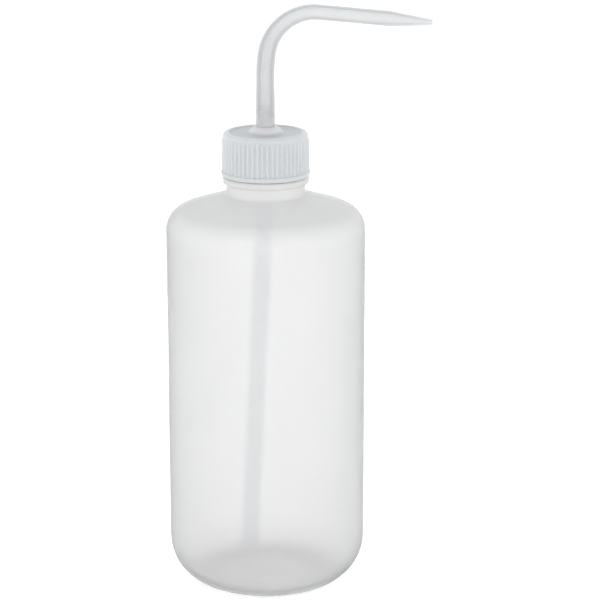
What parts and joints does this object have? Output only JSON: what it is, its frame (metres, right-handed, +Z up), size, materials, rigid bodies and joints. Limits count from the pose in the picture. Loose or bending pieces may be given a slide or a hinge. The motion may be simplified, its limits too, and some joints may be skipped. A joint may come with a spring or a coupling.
{
  "type": "wash bottle",
  "caption": "Translucent laboratory squeeze bottle with a ribbed screw closure, a bent delivery stem with a drawn-out tip and an inner draw tube.",
  "frame": {"origin": "on the bottle's axis, in the plane of the ring that it stands on", "axes": "+Z up along the bottle's axis; +X horizontally towards the spout's tip; +Y horizontally to the left, seen from above along the spout"},
  "size_m": [0.0973, 0.0736, 0.2177],
  "materials": {
    "bottle_ldpe": "natural translucent low-density polyethylene, satin",
    "closure_pp": "natural translucent polypropylene, satin",
    "stem_pp": "natural translucent polypropylene, soft gloss",
    "tube_ldpe": "natural translucent extruded polyethylene",
    "washer_pe": "white foamed polyethylene"
  },
  "bodies": {
    "bottle": {"bottle": "bottle_ldpe"},
    "head": {"seal_washer": "washer_pe"},
    "dispenser": {"delivery_stem": "stem_pp", "draw_tube": "tube_ldpe"},
    "closure": {"closure": "closure_pp"}
  },
  "joints": [
    {"name": "head_rise", "type": "slide", "parent": "bottle", "child": "head", "axis": [0, 0, 1], "range_m": [0, 0.00635]},
    {"name": "closure_turn", "type": "hinge", "parent": "head", "child": "closure", "pos_m": [0, 0, 0.163], "axis": [0, 0, 1], "range_deg": [0, 540]},
    {"name": "stem_swivel", "type": "hinge", "parent": "head", "child": "dispenser", "pos_m": [0, 0, 0.17], "axis": [0, 0, 1], "continuous": true}
  ],
  "couplings": [
    {"joint": "head_rise", "follows": "closure_turn", "m_per_rad": 0.00067375}
  ]
}
